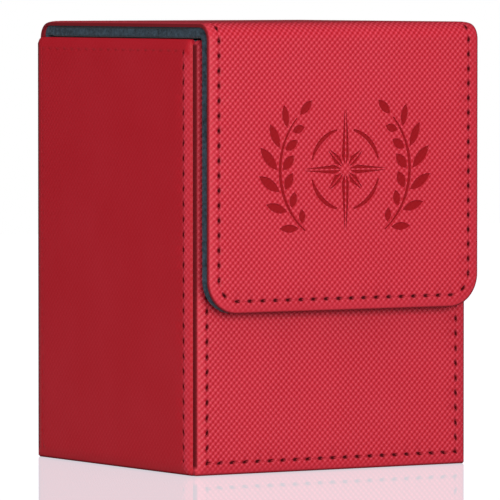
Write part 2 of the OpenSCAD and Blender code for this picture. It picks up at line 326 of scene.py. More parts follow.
def leather_material():
    """Embossed polyurethane leather: a knit backing under a pigmented film, rolled with a
    diamond grain of small raised dots. Satin, with soft pinkish highlights on the dots, partly
    from its gloss and partly a painted highlight in the lighter crest colour."""
    look = bpy.context.scene.deck_leather
    material, tree = new_material("embossed_pu_leather")
    uv = add(tree, "ShaderNodeUVMap", {"uv_map": "pattern_mm"})
    split = add(tree, "ShaderNodeSeparateXYZ", Vector=uv)
    u, v = split.outputs[0], split.outputs[1]
    rising = grain_wave(tree, u, v, -1, look.cell_across, look.cell_along)
    falling = grain_wave(tree, u, v, 1, look.cell_across, look.cell_along)
    # The rising ribs are a little stronger than the falling ones
    rising = add(tree, "ShaderNodeMath", MULTIPLY, in_0=rising, in_1=0.57)
    falling = add(tree, "ShaderNodeMath", MULTIPLY, in_0=falling, in_1=0.43)
    dots = add(tree, "ShaderNodeMath", ADD, in_0=rising, in_1=falling)
    dots = add(tree, "ShaderNodeMath", POWER, in_0=dots, in_1=1.5)
    fine = add(tree, "ShaderNodeTexNoise", FLAT_NOISE, Vector=uv, Scale=2.4, Detail=4.0,
               Roughness=0.6)
    broad = add(tree, "ShaderNodeTexNoise", FLAT_NOISE, Vector=uv, Scale=0.06, Detail=2.0)
    grain, pressed, pit, ironed = (
        add(tree, "ShaderNodeAttribute", {"attribute_name": name}).outputs["Fac"]
        for name in ("grain", "pressed", "pit", "ironed"))

    # Between the valley's colour at 0 and the crest's at 1; ironed side leather gets painted shade,
    # darker and redder
    level = add(tree, "ShaderNodeMath", SUBTRACT, in_0=dots, in_1=0.4)
    level = add(tree, "ShaderNodeMath", MULTIPLY_ADD, in_0=level, in_1=grain, in_2=0.4)
    for value, amount in ((fine, 0.25), (broad, 0.10)):
        value = add(tree, "ShaderNodeMath", SUBTRACT, in_0=value, in_1=0.5)
        level = add(tree, "ShaderNodeMath", MULTIPLY_ADD, in_0=value, in_1=amount, in_2=level)
    level = add(tree, "ShaderNodeMath", MULTIPLY_ADD, in_0=ironed, in_1=-0.32, in_2=level)
    skin = add(tree, "ShaderNodeMix", COLORS, in_0=level, in_6=rgba(look.valley),
               in_7=rgba(look.crest_and_highlight)).outputs[2]
    # The emblem's own colour, then the painted shade of needle holes, slits, feet and turned-under
    # edges, which is also made rougher
    for value, color in ((pressed, look.emblem), (pit, look.hole_shade)):
        skin = add(tree, "ShaderNodeMix", COLORS, in_0=value, in_6=skin,
                   in_7=rgba(color)).outputs[2]

    height = add(tree, "ShaderNodeMath", MULTIPLY, in_0=dots, in_1=grain)
    height = add(tree, "ShaderNodeMath", MULTIPLY_ADD, in_0=fine, in_1=0.16, in_2=height)
    bump = add(tree, "ShaderNodeBump", Strength=1.0, Distance=look.depth * MM, Height=height)
    rough = add(tree, "ShaderNodeMath", MULTIPLY_ADD, in_0=pit, in_1=1 - look.roughness,
                in_2=look.roughness)
    shader = add(tree, "ShaderNodeBsdfPrincipled", Base_Color=skin, Roughness=rough, IOR=1.45,
                 Specular_IOR_Level=0.18, Normal=bump)
    add(tree, "ShaderNodeOutputMaterial", Surface=shader)
    return material


def microfibre_material():
    """Microfibre suede: a short dense nap on a felted backing. No gloss, a pale bloom at grazing
    angles, and faint patches where the nap lies another way."""
    look = bpy.context.scene.deck_lining
    material, tree = new_material("microfibre_suede")
    place = add(tree, "ShaderNodeTexCoord").outputs["Object"]
    nap = add(tree, "ShaderNodeTexNoise", Vector=place, Scale=1 / (look.nap * MM), Detail=5.0,
              Roughness=0.7)
    brushed = add(tree, "ShaderNodeTexNoise", Vector=place, Scale=1 / (8 * MM), Detail=3.0)
    dark = rgba([c * 0.15 for c in look.color])
    pale = rgba([min(1, c * 2.5) for c in look.color])
    # Noise keeps near its middle value, so it is stretched to show the separate tufts
    tufts = add(tree, "ShaderNodeMath", MULTIPLY_ADD, in_0=nap, in_1=3.4, in_2=-1.2)
    tufts = add(tree, "ShaderNodeMath", MULTIPLY, in_0=tufts, in_1=0.6)
    patches = add(tree, "ShaderNodeMath", MULTIPLY, in_0=brushed, in_1=0.4)
    level = add(tree, "ShaderNodeMath", ADD, in_0=tufts, in_1=patches)
    skin = add(tree, "ShaderNodeMix", COLORS, in_0=level, in_6=dark, in_7=pale).outputs[2]
    bump = add(tree, "ShaderNodeBump", Strength=0.8, Distance=0.2 * MM, Height=nap)
    shader = add(tree, "ShaderNodeBsdfPrincipled", Base_Color=skin, Roughness=0.95,
                 Specular_IOR_Level=0.1, Sheen_Weight=0.12, Sheen_Roughness=0.4, Normal=bump)
    add(tree, "ShaderNodeOutputMaterial", Surface=shader)
    return material


def thread_material():
    """Bonded polyester sewing thread: three twisted plies with a slight silky sheen."""
    color = bpy.context.scene.deck_sewing.thread_color
    material, tree = new_material("polyester_thread")
    uv = add(tree, "ShaderNodeUVMap", {"uv_map": "pattern_mm"})
    twist = add(tree, "ShaderNodeTexWave", {"bands_direction": "DIAGONAL"}, Vector=uv,
                Scale=0.9).outputs["Fac"]
    skin = add(tree, "ShaderNodeMix", COLORS, in_0=twist, in_6=rgba([c * 0.7 for c in color]),
               in_7=rgba(color)).outputs[2]
    bump = add(tree, "ShaderNodeBump", Strength=0.6, Distance=0.06 * MM, Height=twist)
    shader = add(tree, "ShaderNodeBsdfPrincipled", Base_Color=skin, Roughness=0.6,
                 Specular_IOR_Level=0.15, Normal=bump)
    add(tree, "ShaderNodeOutputMaterial", Surface=shader)
    return material


def greyboard_material():
    """Recycled greyboard: matt, flecked with darker and paler fibres."""
    material, tree = new_material("recycled_greyboard")
    place = add(tree, "ShaderNodeTexCoord").outputs["Object"]
    flecks = add(tree, "ShaderNodeTexNoise", Vector=place, Scale=1 / (1.2 * MM), Detail=4.0,
                 Roughness=0.65)
    skin = add(tree, "ShaderNodeMix", COLORS, in_0=flecks, in_6=rgba(hex_to_linear("#6F6A60")),
               in_7=rgba(hex_to_linear("#A39C8E"))).outputs[2]
    bump = add(tree, "ShaderNodeBump", Strength=0.5, Distance=0.05 * MM, Height=flecks)
    shader = add(tree, "ShaderNodeBsdfPrincipled", Base_Color=skin, Roughness=0.9, Normal=bump)
    add(tree, "ShaderNodeOutputMaterial", Surface=shader)
    return material


def foam_material():
    """Dense black foam sheet with closed cells: matt, finely pitted."""
    material, tree = new_material("closed_cell_foam")
    place = add(tree, "ShaderNodeTexCoord").outputs["Object"]
    cells = add(tree, "ShaderNodeTexVoronoi", Vector=place, Scale=1 / (0.5 * MM))
    skin = add(tree, "ShaderNodeMix", COLORS, in_0=cells, in_6=rgba(hex_to_linear("#141416")),
               in_7=rgba(hex_to_linear("#2C2C30"))).outputs[2]
    bump = add(tree, "ShaderNodeBump", Strength=0.5, Distance=0.08 * MM, Height=cells)
    shader = add(tree, "ShaderNodeBsdfPrincipled", Base_Color=skin, Roughness=0.85, Normal=bump)
    add(tree, "ShaderNodeOutputMaterial", Surface=shader)
    return material


def nickel_material():
    """Nickel-plated magnet: bright plating with fine tumbling scratches."""
    material, tree = new_material("nickel_plate")
    place = add(tree, "ShaderNodeTexCoord").outputs["Object"]
    scratches = add(tree, "ShaderNodeTexNoise", Vector=place, Scale=1 / (0.4 * MM), Detail=6.0)
    rough = add(tree, "ShaderNodeMath", MULTIPLY_ADD, in_0=scratches, in_1=0.2, in_2=0.15)
    shader = add(tree, "ShaderNodeBsdfPrincipled", Base_Color=rgba(hex_to_linear("#C9C6BE")),
                 Metallic=1.0, Roughness=rough)
    add(tree, "ShaderNodeOutputMaterial", Surface=shader)
    return material


MATERIALS = {}
MAKERS = {
    "grained_leather": leather_material,
    "microfibre": microfibre_material,
    "thread": thread_material,
    "greyboard": greyboard_material,
    "pad_board": foam_material,
    "magnet": nickel_material,
}


def finish_of(slot):
    """The material of one of the record's slots, made when it is first asked for."""
    if slot not in MATERIALS:
        MATERIALS[slot] = MAKERS[slot]()
    return MATERIALS[slot]


# ---- flat patterns ----

class Pattern:
    """A flat pattern in millimetres. Each point has a place (x across, s along), a height out of
    the flat, how far it is pressed (emblem), how much painted shade it has (in a needle hole, a
    slit, along a foot or a turned-under edge), and how strong the grain is there."""

    def __init__(self):
        self.points = []
        self.heights = []
        self.pressed = []
        self.painted_shades = []
        self.grains = []
        self.edges = []

    def add(self, x, s, height=0.0, pressed=0.0, pit=0.0, grain=1.0):
        self.points.append((x, s))
        self.heights.append(height)
        self.pressed.append(pressed)
        self.painted_shades.append(pit)
        self.grains.append(grain)
        return len(self.points) - 1

    def join(self, indices, closed):
        """Makes sure the triangles have an edge along each step of this row of points."""
        ends = indices[1:] + indices[:1] if closed else indices[1:]
        self.edges += list(zip(indices, ends))

    def triangles(self):
        """Delaunay triangles of the points, facing along +X cross +S, as point indices."""
        flat = [Vector(p) for p in self.points]
        found = delaunay_2d_cdt(flat, self.edges, [], 0, 1e-5, True)
        faces, origin = found[2], [ids[0] if ids else None for ids in found[3]]
        if None in origin:
            raise RuntimeError("two rows of a pattern cross")
        return [tuple(origin[i] for i in face) for face in faces]


class Cut:
    """The shape a pattern is cut to: half its width, its start and end along S, its corner
    radius at each end, and which of its ends are turned edges."""

    def __init__(self, half, start, end, start_corner=0.0, end_corner=0.0,
                 start_turned=True, end_turned=True):
        self.half, self.start, self.end = half, start, end
        self.start_corner, self.end_corner = start_corner, end_corner
        self.start_turned, self.end_turned = start_turned, end_turned

    def runs(self, inset):
        """The turned edge pulled in by inset: lines (kind, from, to), arcs (kind, centre, radius,
        first angle, last angle), and None at an end that is not turned."""
        x = self.half - inset
        s0 = self.start + (inset if self.start_turned else 0)
        s1 = self.end - (inset if self.end_turned else 0)
        r0 = max(self.start_corner - inset, 0) if self.start_turned else 0
        r1 = max(self.end_corner - inset, 0) if self.end_turned else 0
        runs = [("line", (-x, s0 + r0), (-x, s1 - r1))]
        if self.end_turned:
            if r1:
                runs.append(("arc", (-x + r1, s1 - r1), r1, math.pi, math.pi / 2))
            runs.append(("line", (-x + r1, s1), (x - r1, s1)))
            if r1:
                runs.append(("arc", (x - r1, s1 - r1), r1, math.pi / 2, 0.0))
        else:
            runs.append(None)
        runs.append(("line", (x, s1 - r1), (x, s0 + r0)))
        if self.start_turned:
            if r0:
                runs.append(("arc", (x - r0, s0 + r0), r0, 0.0, -math.pi / 2))
            runs.append(("line", (x - r0, s0), (-x + r0, s0)))
            if r0:
                runs.append(("arc", (-x + r0, s0 + r0), r0, -math.pi / 2, -math.pi))
        return runs


def run_length(run):
    if run[0] == "line":
        return math.dist(run[1], run[2])
    return abs(run[4] - run[3]) * run[2]


def run_point(run, t):
    if run[0] == "line":
        (x0, s0), (x1, s1) = run[1], run[2]
        return x0 + (x1 - x0) * t, s0 + (s1 - s0) * t
    (cx, cs), radius = run[1], run[2]
    angle = run[3] + (run[4] - run[3]) * t
    return cx + radius * math.cos(angle), cs + radius * math.sin(angle)


def spread(run, step):
    """Shares from 0 up to but not including 1 that split a run into steps."""
    count = max(1, round(run_length(run) / step))
    return [i / count for i in range(count)]


def edge_rows(cut, inset, step):
    """Rows of points along the turned edge pulled in by inset, and whether they close."""
    closed = cut.start_turned and cut.end_turned
    chains = [[]]
    for run in cut.runs(inset):
        if run is None:
            chains.append([])
        else:
            chains[-1].append(run)
    rows = []
    for chain in chains:
        row = [run_point(run, t) for run in chain for t in spread(run, step)]
        if not closed:
            row.append(run_point(chain[-1], 1.0))
        rows.append(row)
    return rows, closed


# Places of the samples within one stitch: closer together round the needle hole
STITCH_SAMPLES = (0.0, 0.05, 0.1, 0.17, 0.28, 0.42, 0.58, 0.72, 0.83, 0.9, 0.95)
# Rows of points beside the seam, in millimetres from its line
SEAM_ROWS = (-0.62, -0.42, -0.27, -0.16, -0.08, 0.0, 0.08, 0.16, 0.27, 0.42, 0.62)
# How far from the seam's line the turned edge stops outside it, and the flat middle inside it
SEAM_OUTSIDE = 0.7
SEAM_INSIDE = 0.9
# How far a needle hole reaches along the seam and across it, and how wide the groove is
HOLE_LENGTH = 0.62
HOLE_WIDTH = 0.32
GROOVE_WIDTH = 0.24
# How much stronger a needle hole's painted shade is than its depth
HOLE_SHADE = 2.2
# Distance between the points of the flat middle, and of the seam's rows where nothing is sewn
FIELD_STEP = 3.0
UNSEWN_STEP = 2.0


def stitch_counts(cut, inset, pitch, skip):
    """How many stitches each run of a seam has; none on the runs in skip."""
    counts = []
    for i, run in enumerate(cut.runs(inset)):
        sewn = run is not None and i not in skip
        counts.append(max(1, round(run_length(run) / pitch)) if sewn else 0)
    return counts


def needle_holes(cut, inset, pitch, skip=()):
    """Rows of needle holes along a seam, ends included."""
    rows, row = [], []
    for run, count in zip(cut.runs(inset), stitch_counts(cut, inset, pitch, skip)):
        if not count:
            if row:
                rows.append(row)
            row = []
            continue
        first = 1 if row else 0
        row += [run_point(run, k / count) for k in range(first, count + 1)]
    if row:
        rows.append(row)
    return rows


# How tight the turn at an edge is: 2 is an ellipse, more is flatter with a tighter turn
EDGE_POWER = 3.6
# How much of an edge's drop is the gentle slope before the turn, and how late it falls
PILLOW_SHARE = 0.5
PILLOW_POWER = 1.6
# How many rows of points a turned edge has
EDGE_STEPS = 14
# The grain is worn to this share at an edge, and keeps this much more from WORN_REACH inwards
WORN_GRAIN = 0.25
WORN_GAIN = 0.6
WORN_REACH = 2.2


def edge_height(inset, width, drop):
    """Height of a face that slopes gently from the seam and turns over at its edge."""
    if inset >= width:
        return 0.0
    out = (width - inset) / width
    turn = 1 - max(0.0, 1 - out ** EDGE_POWER) ** (1 / EDGE_POWER)
    return -drop * (PILLOW_SHARE * out ** PILLOW_POWER + (1 - PILLOW_SHARE) * turn)


def no_painted_shade(x, s):
    return 0.0


def add_turned_edge(pattern, cut, width, drop, step, limit, grain, painted_shade=no_painted_shade):
    """Rows of points from the edge in to limit. Returns the outermost rows' point indices.

    The last argument says where the edge gets painted shade, in a slit, along a foot or where it turns
    under.
    """
    rim = []
    for k in range(EDGE_STEPS):
        inset = width * (1 - math.cos(k * math.pi / 2 / EDGE_STEPS) ** (2 / EDGE_POWER))
        if inset > limit:
            break
        rows, closed = edge_rows(cut, inset, step)
        height = edge_height(inset, width, drop)
        worn = WORN_GRAIN + WORN_GAIN * min(1.0, inset / WORN_REACH)
        for row in rows:
            indices = [pattern.add(x, s, height, pit=painted_shade(x, s), grain=worn * grain(x, s))
                       for x, s in row]
            pattern.join(indices, closed)
            if k == 0:
                rim.append(indices)
    return rim


def add_seam(pattern, cut, seam, width, drop, grain, skip=(), faint=None):
    """Points of the groove and needle holes along a seam. skip names the runs not sewn, and
    faint gives the strength of the holes on runs that have been pressed flat."""
    sewing = bpy.context.scene.deck_sewing
    strengths = faint or {}
    counts = stitch_counts(cut, seam, sewing.pitch, skip)
    for offset in SEAM_ROWS:
        inset = seam + offset
        base = edge_height(inset, width, drop)
        across = math.exp(-(offset / GROOVE_WIDTH) ** 2)
        hole_across = math.exp(-(offset / HOLE_WIDTH) ** 2)
        for number, (run, count) in enumerate(zip(cut.runs(inset), counts)):
            if run is None:
                continue
            strength = strengths.get(number, 1.0)
            if not count:
                for t in spread(run, UNSEWN_STEP):
                    x, s = run_point(run, t)
                    pattern.add(x, s, base, grain=grain(x, s))
                continue
            length = run_length(run) / count
            for k in range(count):
                for share in STITCH_SAMPLES:
                    x, s = run_point(run, (k + share) / count)
                    away = min(share, 1 - share) * length
                    # The hole's share sets both its depth and its painted shade
                    pit = strength * hole_across * math.exp(-(away / HOLE_LENGTH) ** 2)
                    pull = across * (0.65 + 0.35 * math.cos(share * math.tau))
                    height = base - sewing.groove * pull - sewing.hole_depth * pit
                    pattern.add(x, s, height, pit=min(1.0, pit * HOLE_SHADE), grain=grain(x, s))
            if not cut.start_turned:
                x, s = run_point(run, 1.0)
                pattern.add(x, s, base - sewing.groove * across - sewing.hole_depth * hole_across,
                            pit=hole_across, grain=grain(x, s))


def anywhere(x, s):
    return True


def add_field(pattern, cut, inset, stations, across_step, grain, keep=anywhere):
    """Points over the flat middle of a pattern, in rows at the given stations along S."""
    x_max = cut.half - inset
    count = max(1, round(2 * x_max / across_step))
    for s in stations:
        room = x_max
        if cut.end_turned and cut.end_corner > inset:
            below = s - (cut.end - cut.end_corner)
            if below > 0:
                r = cut.end_corner - inset
                if below >= r:
                    continue
                room = cut.half - cut.end_corner + math.sqrt(r * r - below * below)
        for k in range(count + 1):
            x = -x_max + 2 * x_max * k / count
            if abs(x) <= room + 1e-6 and keep(x, s):
                pattern.add(x, s, grain=grain(x, s))


# ---- meshes from patterns ----

def make_object(name, vertices, faces, uvs, values):
    """A mesh object with a millimetre UV map and the values that the materials read."""
    mesh = bpy.data.meshes.new(name)
    mesh.from_pydata(vertices, [], faces)
    layer = mesh.uv_layers.new(name="pattern_mm")
    layer.data.foreach_set("uv", [c for face in uvs for corner in face for c in corner])
    for key, numbers in values.items():
        mesh.attributes.new(key, "FLOAT", "POINT").data.foreach_set("value", numbers)
    made = bpy.data.objects.new(name, mesh)
    bpy.context.scene.collection.objects.link(made)
    return made


def smooth_by_angle(piece, degrees):
    """Smooth shading, with a sharp crease where faces meet at more than the angle."""
    mesh = piece.data
    mesh.polygons.foreach_set("use_smooth", [True] * len(mesh.polygons))
    mesh.update()
    work = bmesh.new()
    work.from_mesh(mesh)
    bmesh.ops.recalc_face_normals(work, faces=work.faces)
    limit = math.radians(degrees)
    for edge in work.edges:
        edge.smooth = edge.calc_face_angle(0.0) < limit
    work.to_mesh(mesh)
    work.free()


def outward_at(points, i):
    """Unit direction out of a closed row of points, in the flat."""
    (x0, s0), (x1, s1) = points[i - 1], points[(i + 1) % len(points)]
    dx, ds = x1 - x0, s1 - s0
    size = math.hypot(dx, ds) or 1.0
    return -ds / size, dx / size


def build_shell(name, top, rim, back, place, wall, mirror=1):
    """A closed solid: top's face, a wall down from its rim, and back's face.

    rim is the loop of top's outermost points; back starts with the same loop. place turns
    (x, s, height) into metres. wall is the wall's height on the flat pattern. mirror is -1 where S
    runs down the box, so that the grain keeps its hand.
    """
    count = len(top.points)
    vertices = [place(x, s, h) for (x, s), h in zip(top.points, top.heights)]
    vertices += [place(x, s, h) for (x, s), h in zip(back.points, back.heights)]
    faces, uvs = [], []
    for tri in top.triangles():
        faces.append(tri)
        uvs.append([top.points[i] for i in tri])
    for tri in back.triangles():
        faces.append(tuple(count + i for i in reversed(tri)))
        uvs.append([back.points[i] for i in reversed(tri)])
    loop = [top.points[i] for i in rim]
    foot = []
    for k, (x, s) in enumerate(loop):
        out_x, out_s = outward_at(loop, k)
        foot.append((x + out_x * wall, s + out_s * wall))
    for k in range(len(rim)):
        n = (k + 1) % len(rim)
        faces.append((rim[k], rim[n], count + n, count + k))
        uvs.append([loop[k], loop[n], foot[n], foot[k]])
    uvs = [[(mirror * x, s) for x, s in face] for face in uvs]
    values = {
        "pressed": top.pressed + [0.0] * len(back.points),
        "pit": top.painted_shades + back.painted_shades,
        "grain": top.grains + [0.0] * len(back.points),
    }
    return make_object(name, vertices, faces, uvs, values)


def rim_loop(pattern, cut, rim_rows):
    """The closed loop of a pattern's outermost points, with the points on its cut ends."""
    if cut.start_turned and cut.end_turned:
        return rim_rows[0]

    def on_line(s, backwards):
        found = [i for i, p in enumerate(pattern.points) if abs(p[1] - s) < 1e-6]
        return sorted(found, key=lambda i: pattern.points[i][0], reverse=backwards)

    if cut.end_turned:
        across = on_line(cut.start, True)
        return rim_rows[0] + across[1:-1]
    left, right = rim_rows[0], rim_rows[1]
    end_row = on_line(cut.end, False)
    start_row = on_line(cut.start, True)
    return left + end_row[1:-1] + right + start_row[1:-1]


def tucked(point, cut, tuck):
    """A point of the rim pulled in from the turned edges by tuck."""
    x, s = point
    x *= (cut.half - tuck) / cut.half
    if cut.end_turned:
        reach = max(cut.end_corner, 1.0)
        s -= tuck * max(0.0, s - (cut.end - reach)) / reach
    return x, s


# A pocket's wall leans by this much, so that its two rows of points stay apart
POCKET_LEAN = 0.02
# How far the points of a hidden side stay from its edges and from its cut ends
BACK_MARGIN = 0.9
BACK_END_MARGIN = 0.3


def back_pattern(top, rim, depth_at, stations, cut, tuck=0.0, pocket=None, pocket_depth=0.0):
    """The hidden side of a pattern: the rim's loop, a pocket for the board, and a few rows."""
    back = Pattern()
    loop = []
    for i in rim:
        x, s = tucked(top.points[i], cut, tuck)
        loop.append(back.add(x, s, -depth_at(s), pit=top.painted_shades[i]))
    back.join(loop, True)
    if pocket:
        for inset, depth in ((0.0, depth_at(0.0)), (POCKET_LEAN, pocket_depth)):
            row = edge_rows(pocket, inset, 4.0)[0][0]
            back.join([back.add(x, s, -depth) for x, s in row], True)
    first = cut.start + BACK_END_MARGIN
    last = cut.end - BACK_END_MARGIN - (cut.end_corner if cut.end_turned else 0)
    half = cut.half - BACK_MARGIN
    shares = (-1.0, -0.5, 0.0, 0.5, 1.0)
    if pocket:
        half = pocket.half
        shares = (-0.66, -0.33, 0.0, 0.33, 0.66)
    for s in stations:
        if first < s < last:
            for share in shares:
                back.add(half * share, s, -(pocket_depth if pocket else depth_at(s)))
    return back


# ---- places ----

def front_place(x, s, height):
    return (x * MM, (FRONT_LOW.y - height) * MM, s * MM)


def back_place(x, s, height):
    return (-x * MM, (BACK_HIGH.y + height) * MM, s * MM)


def left_place(x, s, height):
    middle = (LEFT_LOW.y + LEFT_HIGH.y) / 2
    return ((LEFT_LOW.x - height) * MM, (middle - x) * MM, s * MM)


def right_place(x, s, height):
    middle = (LEFT_LOW.y + LEFT_HIGH.y) / 2
    return ((-LEFT_LOW.x + height) * MM, (middle + x) * MM, s * MM)


def bottom_place(x, s, height):
    return (x * MM, (BOTTOM_HIGH.y - s) * MM, (BOTTOM_LOW.z - height) * MM)


# Distance between the strip's rows of points over a bend
BEND_STEP = 0.45


class StripRoute:
    """Where the outer face of the lid strip runs: up the tail, over the hinge bend, along the
    lid, over the fold and down the flap. S starts at the tail's lower end."""

    def __init__(self):
        self.tail = HINGE_LOW.z - TAIL_LOW.z
        self.bend = BEND_R * math.pi / 2
        self.hinge_y = HINGE_HIGH.y - BEND_R
        self.fold_y = FOLD_LOW.y + BEND_R
        self.bend_z = HINGE_LOW.z
        self.hinge_end = self.tail + self.bend
        self.fold_start = self.hinge_end + self.hinge_y - self.fold_y
        self.fold_end = self.fold_start + self.bend
        self.end = self.fold_end + self.bend_z - FLAP_LOW.z
        self.middle = (self.hinge_end + self.fold_start) / 2

    def at(self, s):
        """Y, Z and the outward direction at a distance along the strip."""
        if s < self.tail:
            return HINGE_HIGH.y, TAIL_LOW.z + s, 1.0, 0.0
        if s < self.hinge_end:
            angle = (s - self.tail) / BEND_R
            c, k = math.cos(angle), math.sin(angle)
            return self.hinge_y + BEND_R * c, self.bend_z + BEND_R * k, c, k
        if s < self.fold_start:
            return self.hinge_y - (s - self.hinge_end), LID_HIGH.z, 0.0, 1.0
        if s < self.fold_end:
            angle = math.pi / 2 + (s - self.fold_start) / BEND_R
            c, k = math.cos(angle), math.sin(angle)
            return self.fold_y + BEND_R * c, self.bend_z + BEND_R * k, c, k
        return FOLD_LOW.y, self.bend_z - (s - self.fold_end), -1.0, 0.0

    def width_share(self, s):
        """The tail is a little narrower than the lid, to lie between the side panels."""
        narrow = TAIL_HIGH.x / STRIP_HALF
        return narrow + (1 - narrow) * smooth((s - self.tail) / RIM_STEP + 1)

    def place(self, x, s, height):
        y, z, out_y, out_z = self.at(s)
        x *= self.width_share(s)
        return (x * MM, (y + out_y * height) * MM, (z + out_z * height) * MM)

    def swell(self, s, thin, full, gathered=0.0):
        """A thickness that is thin down in the slot and full above the rim, with gathered more
        where the hinge bend starts."""
        out = clamp((s - self.tail) / RIM_STEP)
        along = clamp((s - self.tail) / self.bend)
        return thin + (full - thin) * smooth(out) + gathered * out * (1 - along) ** 2

    def stations(self, start, end, coarse):
        """Rows along the strip, close together over the bends."""
        rows, s = [], start
        while s < end - 0.05:
            rows.append(s)
            to_bend = min(abs(s - self.tail - self.bend / 2),
                          abs(s - self.fold_start - self.bend / 2))
            step = BEND_STEP if to_bend < self.bend else coarse
            for stop in (self.tail - RIM_STEP, self.tail, self.tail + RIM_STEP):
                if s < stop - 1e-6 < s + step:
                    step = stop - s
            s += step
        rows.append(end)
        return rows


ROUTE = StripRoute()
# How much thicker the leather layer is where the hinge bend starts
GATHERED = 0.9
# How much thinner the leather layer is than the CAD model's, over the lid and over the flap
LID_THINNER = 0.25
FLAP_THINNER = 0.55
# How much the lining stands out over the lid, and how long it takes to do so
PLUMP = 0.3
PLUMP_RUN = 3
# How much the lining bunches up inside the fold, and how far along that reaches
BUNCH = 0.5
BUNCH_REACH = 2.4


def leather_depth(s):
    """Thickness of the strip's leather layer."""
    depth = ROUTE.swell(s, LEATHER_T, SHELL_T - LID_THINNER, GATHERED)
    return depth - (FLAP_THINNER - LID_THINNER) * smooth((s - ROUTE.fold_start) / ROUTE.bend)


def even_stations(start, end, step):
    count = max(1, round((end - start) / step))
    return [start + (end - start) * k / count for k in range(count + 1)]


# ---- emblem ----

# The star: lengths of its upright, level and short points, and the radius between them
STAR_UPRIGHT = 14.6
STAR_LEVEL = 11.4
STAR_SHORT = 6.4
STAR_ROOT = 3.3
# The broken ring round the star: radius, width, and each band's share of its quarter
RING_RADIUS = 9.6
RING_WIDTH = 1.0
RING_SHARE = (0.16, 0.84)
# The sprays: radius, width and ends (in degrees) of a stem, and the sizes of the leaves
STEM_RADIUS = 18.3
STEM_WIDTH = 0.75
STEM_ENDS = (-52, 42)
LEAF_OUTER = 7.2
LEAF_INNER = 4.6
LEAF_WIDTH = 2.5
LEAF_LEAN = 42
TIP_WIDTH = 2.0
# Half the emblem's box, and half the width of its pressed wall
EMBLEM_HALF = (26.5, 18.5)
EMBLEM_WALL = 0.09


def leaf_outline(base, angle, length, width, steps=7):
    """A pointed leaf: two arcs that meet at both ends."""
    points = []
    for k in range(2 * steps):
        t = k / steps if k <= steps else 2 - k / steps
        side = 1 if k <= steps else -1
        across = side * width / 2 * math.sin(math.pi * t) ** 0.8
        along = length * t
        points.append((base[0] + along * math.cos(angle) - across * math.sin(angle),
                       base[1] + along * math.sin(angle) + across * math.cos(angle)))
    return points


def band_outline(radius, width, start, end, steps=16):
    """A band round the emblem's centre that tapers to both ends."""
    outer, inner = [], []
    for k in range(steps + 1):
        t = k / steps
        angle = start + (end - start) * t
        half = width / 2 * (0.35 + 0.65 * math.sin(math.pi * t))
        for row, r in ((outer, radius + half), (inner, radius - half)):
            row.append((r * math.cos(angle), r * math.sin(angle)))
    return outer + inner[::-1]


def star_half(angle, length, root, half_turn, side, gap=0.22):
    """One half of a star's point: a long thin triangle beside its ridge line."""
    ridge = (math.cos(angle), math.sin(angle))
    across = (-math.sin(angle) * side, math.cos(angle) * side)
    foot = angle + side * half_turn * 0.78
    inner = (root * math.cos(foot), root * math.sin(foot))
    start = (ridge[0] * root * 0.42 + across[0] * gap, ridge[1] * root * 0.42 + across[1] * gap)
    tip = (ridge[0] * length + across[0] * gap, ridge[1] * length + across[1] * gap)
    return [start, tip, inner]


def emblem_outlines(points, leaves):
    """Outlines of the pressed shapes, in millimetres from the emblem's centre."""
    shapes = []
    for k in range(points * 2):
        angle = math.pi / 2 + k * math.pi / points
        length = STAR_SHORT
        if k % 2 == 0:
            length = STAR_UPRIGHT if abs(math.sin(angle)) > 0.9 else STAR_LEVEL
        for side in (-1, 1):
            shapes.append(star_half(angle, length, STAR_ROOT, math.pi / (points * 2), side))
    for k in range(points):
        start, end = (math.pi / 2 + (k + share) * math.tau / points for share in RING_SHARE)
        shapes.append(band_outline(RING_RADIUS, RING_WIDTH, start, end))
    low, high = (math.radians(a) for a in STEM_ENDS)
    spray = [band_outline(STEM_RADIUS, STEM_WIDTH, low, high, 22)]
    for k in range(leaves):
        share = (k + 0.35) / leaves
        angle = low + (high - low) * share
        # The leaves are smaller towards both ends of the stem
        grow = 1.0 - 0.32 * abs(share - 0.5) * 2
        for outward, length in ((-1, LEAF_INNER), (1, LEAF_OUTER)):
            radius = STEM_RADIUS + outward * 0.85
            base = (radius * math.cos(angle), radius * math.sin(angle))
            lean = angle + math.pi / 2 - outward * math.radians(LEAF_LEAN)
            spray.append(leaf_outline(base, lean, length * grow, LEAF_WIDTH * grow))
    tip = high + 0.07
    base = (STEM_RADIUS * math.cos(tip), STEM_RADIUS * math.sin(tip))
    spray.append(leaf_outline(base, tip + math.pi / 2, LEAF_INNER, TIP_WIDTH))
    for side in (-1, 1):
        shapes += [[(side * x, y) for x, y in outline] for outline in spray]
    return shapes


def signed_area(points):
    return sum(a[0] * b[1] - b[0] * a[1] for a, b in zip(points, points[1:] + points[:1])) / 2


def offset_outline(points, distance):
    """A closed outline moved outwards by distance, mitred."""
    turn = 1 if signed_area(points) > 0 else -1
    moved = []
    for i, (x, y) in enumerate(points):
        (x0, y0), (x1, y1) = points[i - 1], points[(i + 1) % len(points)]
        first = Vector((x - x0, y - y0)).normalized()
        second = Vector((x1 - x, y1 - y)).normalized()
        normal = Vector((first.y + second.y, -first.x - second.x)) * turn
        if normal.length < 1e-6:
            normal = Vector((first.y, -first.x)) * turn
        normal.normalize()
        reach = max(0.45, normal.dot(Vector((first.y, -first.x)) * turn))
        moved.append((x + normal.x * distance / reach, y + normal.y * distance / reach))
    return moved


